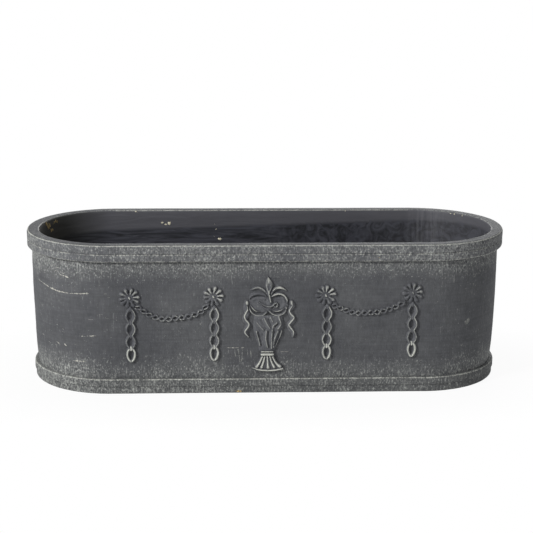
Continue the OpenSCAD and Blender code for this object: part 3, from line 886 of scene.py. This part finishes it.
def tarred_inside():
    """Black sealing coat brushed thickly on the inside, satin and ridged by the brush, below a
    matt washed band that is deepest on the right. The coat's edge is laid along the front rim's
    shadow on the back wall, so its dark is partly painted shadow, and the ends are partly painted
    shade and light."""
    material, tree, place = new_finish("tarred_inside")
    spot = put(tree, "SeparateXYZ", {0: place})
    across, height = spot.outputs["X"], spot.outputs["Z"]
    flat = put(tree, "Mapping", {"Vector": place, "Scale": scales(WAVE)})
    waves = put(tree, "TexNoise", {
        "Vector": flat, "Scale": 1, "Detail": 4, "Roughness": 0.6, "Distortion": 1.5,
    })
    curls = put(tree, "TexNoise", {
        "Vector": place, "Scale": 1 / CURL, "Detail": 3, "Roughness": 0.6, "Distortion": 2,
    })
    rightward = put(tree, "MapRange", {"Value": across, "From Min": -0.02, "From Max": 0.08})
    stroke = put(tree, "MixRGB", {"Fac": rightward, "Color1": waves, "Color2": curls})

    # The coat's upper edge falls to the right and wavers with the strokes. It follows the front
    # rim's shadow on the back wall, so the dark below it is partly painted shadow
    edge = put(tree, "Math", {0: across, 1: -0.03, 2: height}, operation="MULTIPLY_ADD")
    edge = put(tree, "Math", {0: stroke, 1: -8 * MM, 2: edge}, operation="MULTIPLY_ADD")
    above_rim_shadow = put(tree, "MapRange", {"Value": edge, "From Min": 0.162, "From Max": 0.166})
    brush = put(tree, "MapRange", {"Value": stroke, "From Min": 0.38, "From Max": 0.62})
    coat_and_rim_shadow = put(tree, "MixRGB", {
        "Fac": brush, "Color1": shade("#1d1e22"), "Color2": shade("#3f4047"),
    })
    band = put(tree, "MapRange", {
        "Value": waves, "From Min": 0.3, "From Max": 0.7, "To Min": 0.92, "To Max": 1.08,
    })
    washed = {"Fac": 1, "Color1": shade("#505055"), "Color2": band}
    band = put(tree, "MixRGB", washed, blend_type="MULTIPLY")
    colour = put(tree, "MixRGB", {"Fac": above_rim_shadow, "Color1": coat_and_rim_shadow, "Color2": band})

    # Damp has stained the left end brown and darkened it further as painted shade, where it faces
    # away from the key lamp. The right end is paler, partly with dust and partly as painted light,
    # and bears a dry brush's marks
    left_stain_and_shade = put(tree, "MapRange", {"Value": across, "From Min": -0.2, "From Max": -0.26})
    stained_and_shaded = {"Fac": left_stain_and_shade, "Color1": colour, "Color2": shade("#b9b8a6")}
    colour = put(tree, "MixRGB", stained_and_shaded, blend_type="MULTIPLY")
    dust_and_light = put(tree, "MapRange", {
        "Value": across, "From Min": 0.12, "From Max": 0.26, "To Max": 0.12,
    })
    brushed = put(tree, "Math", {0: across, 1: 0.217}, operation="SUBTRACT")
    brushed = put(tree, "Math", {0: brushed}, operation="ABSOLUTE")
    brushed = put(tree, "MapRange", {
        "Value": brushed, "From Min": 0.03, "From Max": 0.01, "To Max": 0.2,
    })
    upright = put(tree, "Mapping", {"Vector": place, "Scale": scales(HAIR)})
    hairs = put(tree, "TexNoise", {"Vector": upright, "Scale": 1, "Detail": 3, "Roughness": 0.6})
    hairs = put(tree, "MapRange", {"Value": hairs, **MOST})
    brushed = put(tree, "Math", {0: brushed, 1: hairs}, operation="MULTIPLY")
    dust_and_light = put(tree, "Math", {0: dust_and_light, 1: brushed}, operation="ADD")
    colour = put(tree, "MixRGB", {"Fac": dust_and_light, "Color1": colour, "Color2": shade("#8f8f94")})
    bump = put(tree, "Bump", {"Height": stroke, "Distance": 1.5 * MM, "Strength": 0.3})
    surface(tree, 0.55, 0.3, {"Base Color": colour, "Normal": bump})
    return material


def bared_clay(name, colour, deep):
    """Dry, crumbly clay, cream or brown where a chip or scratch has gone through the wash and grey
    where a brush has only thinned it."""
    material, tree, place = new_finish(name)
    fine = put(tree, "TexNoise", {
        "Vector": place, "Scale": 1 / CRUMB, "Detail": 2, "Roughness": 0.6,
    })
    part = put(tree, "MapRange", {"Value": fine, **MOST})
    mixed = put(tree, "MixRGB", {"Fac": part, "Color1": shade(deep), "Color2": shade(colour)})
    surface(tree, 0.9, 0.2, {"Base Color": mixed})
    return material


# Dust lies thickest below the rim, above the foot and towards both ends
wall_zones = (
    ("Z", 0.128, 0.166, 1.8),
    ("Z", 0.064, 0.018, 1.6),
    ("X", 0.28, -0.28, 0.45),
    ("X", 0.16, 0.27, 0.5),
)
wall_finish = washed_clay(
    "washed_clay_wall", "#4b4c4f", "#565759", dust=-1.1, brushed=0.5, zones=wall_zones,
    corner_shade=(1.2, 0.15),
)
rim_finish = washed_clay(
    "washed_clay_rim", "#505155", "#5d5e60", dust=0.6, brushed=0.4,
    zones=(("X", 0.12, 0.25, 0.5),), corner_shade=(1.2, 0.05),
)
# A darker copy of the rim's finish for the cap's top face, which the lamps light more from above:
# painted shade
shaded_rim_top_finish = washed_clay("washed_clay_rim_top_shaded", "#434447", "#4e4f52", dust=0.1, brushed=0.3)
plinth_finish = washed_clay(
    "washed_clay_plinth", "#464749", "#535455", dust=0.4, brushed=0.5,
    zones=(("X", 0.28, -0.28, 0.7),),
)
relief_finish = washed_clay(
    "rubbed_clay_relief", "#505155", "#5e5f62", dust=-0.4, brushed=0.2, corner_shade=(2, 0.5),
    patchy=0.15,
)
# Cream for the specks inside, made paler than bared clay so that they show in the shade there:
# painted light
lit_speck_finish = bared_clay("bared_clay_speck_lit", "#f0ead2", "#bdb69d")
scratch_finish = bared_clay("bared_clay_scratch", "#cbc9bf", "#8e8d86")
chip_finish = bared_clay("bared_clay_chip", "#c9b07e", "#6b6149")
faint_finish = bared_clay("thin_wash_mark", "#868782", "#6b6c6d")
inside_finish = tarred_inside()


def give(obj, material, test):
    """Gives a material to the faces whose middles pass the test."""
    obj.data.materials.append(material)
    bpy.context.view_layer.objects.active = obj
    bpy.ops.object.mode_set(mode="EDIT")
    pick(test, "faces")
    obj.active_material_index = len(obj.data.materials) - 1
    bpy.ops.object.material_slot_assign()
    bpy.ops.object.mode_set(mode="OBJECT")


def looks_in(p):
    return out_from_middle(p) < wall_half(p.z) - WALL_THICK + 0.6 * MM


# Mouldings and wall, with the edges that are rubbed: how far out, how high and how strongly
CAP_EDGES = [
    (CAP_HIGH.y - 1.6 * MM, CAP_HIGH.z - 0.6 * MM, 1.2),
    (CAP_HIGH.y - 15 * MM, CAP_HIGH.z - 0.5 * MM, 1),
]
BEAD_EDGES = [
    (BEAD_HIGH.y - 0.8 * MM, BEAD_HIGH.z - 0.5 * MM, 0.65),
    (BEAD_HIGH.y - 1.1 * MM, BEAD_LOW.z + 0.8 * MM, 0.9),
]
TOE_EDGES = [(PLINTH_HIGH.y - 1.3 * MM, PLINTH_HIGH.z - 0.9 * MM, 1.42)]
for node, obj, slot, material, edges in (
    ("rim_cap", rim_cap(), "washed_clay_rim", rim_finish, CAP_EDGES),
    ("rim_bead", rim_bead(), "washed_clay_rim", rim_finish, BEAD_EDGES),
    ("plinth_moulding", plinth_moulding(), "washed_clay_plinth", plinth_finish, TOE_EDGES),
    ("wall", wall(), "washed_clay_wall", wall_finish, []),
):
    obj.data.materials.append(material)
    if node == "rim_cap":
        # The top face takes the darker copy of the rim's finish, as painted shade
        give(obj, shaded_rim_top_finish, lambda p: p.z > CAP_HIGH.z - 0.2 * MM)
    if node in ("rim_cap", "wall"):
        give(obj, inside_finish, looks_in)
    mark_wear(obj, edges)
    hand_press(obj)
    finish(obj, node)

# Relief
LEFT_SWAG = [
    (-158.6, 110.4), (-143.3, 99.9), (-128, 95.8), (-113.7, 97), (-98.9, 98.7), (-84, 104),
    (-75.4, 113),
]
RIGHT_SWAG = [
    (79.1, 111.1), (94.1, 105.2), (106, 102.2), (122.5, 102.4), (137.5, 104), (150, 108.2),
    (162.6, 114.4),
]
relief = {}
for number in (1, 2, 3, 4):
    relief[f"rosette_{number}"] = rosette(number)
    relief[f"drop_{number}"] = drop(number)
relief["swag_left"] = swag("swag_cast_left", LEFT_SWAG)
relief["swag_right"] = swag("swag_cast_right", RIGHT_SWAG)
urn_middle = middle_of("draped_urn")[0]
for node, parts in (
    ("bud_and_leaves", bud_and_leaves()),
    ("bow", bow()),
    ("ribbon_tail_left", ribbon_tail(-1)),
    ("ribbon_tail_right", ribbon_tail(1)),
    ("draped_urn", draped_urn()),
    ("urn_collar", urn_collar()),
    ("urn_foot", urn_foot()),
):
    relief[node] = shape_relief(node + "_cast", *parts, middle=urn_middle)
for node, obj in relief.items():
    mark_wear(obj)
    lay_on_wall(obj)
    hand_press(obj)
    obj.data.materials.append(relief_finish)
    finish(obj, node)


# Scratches, brush marks, specks and chips

# How far a mark's points stray, in millimetres, the shares that its width varies between, the
# least and the end shares, and how flat it is
STRAY = 0.15
WIDTH_LOW, WIDTH_HIGH = -0.35, 1.25
THINNEST = 0.08
END_WIDTH = 0.15
FLATNESS = 0.3


def scratches(name, marks, material, depth=0, inside=False):
    """Thin burrs, marks and chips, each a line of points along the wall and up, in millimetres,
    and half its width."""
    strands = []
    for points, half in marks:
        curve = bpy.data.curves.new(name, "CURVE")
        curve.dimensions = "3D"
        curve.bevel_depth = MM
        curve.bevel_resolution = 1
        curve.use_fill_caps = True
        if len(points) > 2:
            line = line_through(points)[::3]
        else:
            line = np.linspace(*np.array(points, float), 6)
        path = curve.splines.new("POLY")
        path.points.add(len(line) - 1)
        for point, (along, up) in zip(path.points, line):
            point.co = (*(MM * (v + dice.uniform(-STRAY, STRAY)) for v in (along, up)), 0, 1)
            point.radius = half * max(THINNEST, dice.uniform(WIDTH_LOW, WIDTH_HIGH))
        path.points[0].radius = path.points[-1].radius = END_WIDTH * half
        strands.append(bpy.data.objects.new(name, curve))
        scene.collection.objects.link(strands[-1])
    select(strands)
    bpy.ops.object.convert(target="MESH")
    if len(strands) > 1:
        bpy.ops.object.join()
    obj = bpy.context.object
    obj.name = name
    for v in obj.data.vertices:
        v.co.z = FLATNESS * v.co.z + depth
    lay_on_wall(obj)
    if inside:
        for v in obj.data.vertices:
            v.co.y = -v.co.y
        obj.data.flip_normals()
    hand_press(obj)
    obj.data.materials.append(material)
    finish(obj)


wall_marks = [
    ([(-303, 132), (-296, 131), (-288, 129.7), (-276, 127.2)], 0.6),
    ([(-277, 127.4), (-262, 125.2), (-250, 124.8)], 1),
    ([(-251, 124.8), (-244, 124.9), (-236, 125.6), (-228, 126.1)], 0.6),
    ([(-229, 126), (-223, 126.8), (-217.6, 127.3)], 1),
    ([(-258.7, 146.5), (-250.9, 145.8), (-243.6, 144.2)], 0.8),
    ([(-254, 149), (-251, 148.5)], 0.7),
    ([(-233, 72.2), (-226, 72.6), (-219, 73.4)], 0.5),
    ([(-219, 73.4), (-210.4, 74)], 0.8),
    ([(-284.7, 56.5), (-279.2, 55.7)], 0.7),
    ([(-268, 59), (-264.5, 58.4), (-261.5, 55.8)], 0.8),
    ([(-254.4, 59.5), (-252.4, 57.4), (-250.7, 56.2)], 0.7),
    ([(-243, 39), (-237.3, 39.4), (-230, 39.8), (-224.5, 40.4)], 1.1),
    ([(-53.6, 58.1), (-41.4, 58)], 0.4),
    ([(13.6, 52.4), (27, 52.3)], 0.3),
    ([(-42, 58), (-30, 58.3)], 0.35),
]
# Faint ones lie scattered over the left end
FAINT_MARKS = 28
for _ in range(FAINT_MARKS):
    along, up, reach = dice.uniform(-315, -185), dice.uniform(45, 155), dice.uniform(1, 9)
    rise = 0.1 * reach * dice.uniform(-1, 1)
    wall_marks.append(([(along, up), (along + reach, up + rise)], dice.uniform(0.14, 0.32)))
scratches("wall_scratches", wall_marks, scratch_finish)
scratches("brush_marks", [
    ([(-37.7, 57), (-36.2, 47.3), (-34.9, 36)], 0.9),
    ([(-32.5, 57.5), (-32.6, 47.3), (-33.8, 35)], 0.8), ([(-41.6, 56.5), (-40.4, 46)], 0.6),
    ([(-22.5, 57.2), (-21.5, 44)], 0.8), ([(-26.6, 56), (-26, 48)], 0.5),
    ([(-227.4, 43), (-226.9, 36), (-225.6, 31)], 0.9), ([(-224.9, 45), (-224, 37)], 0.8),
    ([(245, 82.4), (249, 82.6)], 1), ([(244.2, 84), (251.4, 84.2)], 1.4),
    ([(243.6, 85.6), (252, 85.8)], 1.4), ([(245.2, 87.2), (252.6, 87.2)], 1.3),
    ([(247, 88.6), (251.6, 88.6)], 1), ([(240, 55), (242.6, 56)], 1.8),
    ([(244, 54.2), (245.4, 54.6)], 1.3),
], faint_finish)
scratches("inside_specks", [
    ([(-134, 171.6), (-131, 171.2)], 2.3), ([(-129.5, 169.2), (-126.8, 168.8)], 2.1),
    ([(-125, 170.8), (-121, 170)], 2.2), ([(-63.8, 169.4), (-63, 169.2)], 1.4),
    ([(-61.8, 162.6), (-61, 162)], 1.7), ([(-64.2, 153.4), (-63.8, 152.8)], 1.4),
    ([(-59, 149.3), (-53.5, 149)], 2.2), ([(-168, 186.4), (-165.5, 186.4)], 1),
    ([(107.6, 186.4), (110, 186.4)], 1), ([(255, 186.2), (258, 186.2)], 1),
    ([(261, 186.4), (263, 186.4)], 1), ([(274.6, 186.2), (277, 186.2)], 1.4),
], lit_speck_finish, -WALL_THICK, inside=True)
scratches("inside_chips", [
    ([(-319, 185.5), (-315, 184), (-311, 183)], 2.2),
    ([(-309, 185), (-306, 180), (-303, 178)], 2.6), ([(-303, 175), (-300, 172), (-297, 174)], 2.3),
    ([(-297, 180), (-291, 183), (-286, 181)], 2.1), ([(-311, 179), (-306, 176)], 1.9),
    ([(-314, 181), (-309, 181)], 1.9),
], chip_finish, -WALL_THICK, inside=True)
scratches("toe_chip", [
    ([(-40.5, 2.4), (-36, 2.3)], 1.4),
    ([(-37.5, 2.4), (-33.4, 2.4)], 1.5),
], chip_finish, PLINTH_HIGH.y - FOOT_HALF - 1.5 * MM)
scratches("bead_chip", [
    ([(131, 172.6), (133.5, 172.4)], 1.2),
], chip_finish, BEAD_HIGH.y - WALL_HIGH.y - 0.6 * MM)

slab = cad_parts["floor_slab"]
slab.data.materials.clear()
slab.data.materials.append(inside_finish)

# Camera, fitted to the outline of the rim and the foot
CAMERA_AT = Vector((-0.0922, -1.9242, 0.6266))
CAMERA_AIM = Vector((0.0011, 0, 0.1347))
CAMERA_ROLL = math.radians(0.408)
camera_data = bpy.data.cameras.new("camera")
camera_data.sensor_width = 36
camera_data.lens = 105.79
camera = bpy.data.objects.new("camera", camera_data)
scene.collection.objects.link(camera)
camera.location = CAMERA_AT
camera.rotation_mode = "QUATERNION"
roll = Quaternion((0, 0, 1), CAMERA_ROLL)
camera.rotation_quaternion = (CAMERA_AIM - camera.location).to_track_quat("-Z", "Y") @ roll
scene.camera = camera
scene.view_settings.view_transform = "Standard"

# Floor and light
WHITE = (1, 1, 1, 1)


def seen_white(tree, strength):
    """The share of white for rays from the camera, off a glossy surface or through glass."""
    ray = put(tree, "LightPath").outputs
    direct = ray["Is Camera Ray"]
    for kind in ("Is Glossy Ray", "Is Transmission Ray"):
        direct = put(tree, "Math", {0: direct, 1: ray[kind]}, operation="MAXIMUM")
    return put(tree, "Math", {0: direct, 1: strength}, operation="MULTIPLY")


clear()
bpy.ops.mesh.primitive_plane_add(size=20, location=(0, 0, 0))
floor = bpy.context.object
floor.name = "pale_floor"
paper = bpy.data.materials.new("white_paper")
tree = empty_tree(paper)
matt = put(tree, "BsdfDiffuse", {"Color": shade("#f2f2f2")})
glow = put(tree, "Emission", {"Color": WHITE, "Strength": 1})
# The paper is real in the shade under the trough, shows shadows near it and is plain white beyond
place = put(tree, "TexCoord").outputs["Object"]
away = put(tree, "VectorMath", {0: place, 1: (1, 2, 0)}, operation="MULTIPLY")
away = put(tree, "VectorMath", {0: away}, operation="LENGTH").outputs["Value"]
beside = put(tree, "MapRange", {"Value": away, "From Min": 0.12, "From Max": 0.2, "To Max": 0.94})
beyond = put(tree, "MapRange", {"Value": away, "From Min": 0.32, "From Max": 0.5, "To Max": 0.06})
plain = put(tree, "Math", {0: beside, 1: beyond}, operation="ADD")
mix = put(tree, "MixShader", {0: seen_white(tree, plain), 1: matt, 2: glow})
put(tree, "OutputMaterial", {"Surface": mix})
floor.data.materials.append(paper)

world = bpy.data.worlds.new("studio")
scene.world = world
tree = empty_tree(world)
soft = put(tree, "Background", {"Color": shade("#c8cacd"), "Strength": 0.29})
white = put(tree, "Background", {"Color": WHITE, "Strength": 1})
mix = put(tree, "MixShader", {0: seen_white(tree, 1), 1: soft, 2: white})
put(tree, "OutputWorld", {"Surface": mix})

LAMP_AIM = Vector((0, 0, 0.1))
for name, place, size, watts in (
    ("key", (-1.85, -1.6, 1.5), 0.6, 64),
    ("fill", (1.5, -2.4, 0.8), 1.8, 11),
    ("behind", (0.6, 2.4, 0.9), 1.6, 48),
):
    lamp = bpy.data.lights.new(name, "AREA")
    lamp.size = size
    lamp.energy = watts
    lamp_object = bpy.data.objects.new(name, lamp)
    lamp_object.location = place
    facing = (LAMP_AIM - Vector(place)).to_track_quat("-Z", "Y")
    lamp_object.rotation_euler = facing.to_euler()
    scene.collection.objects.link(lamp_object)
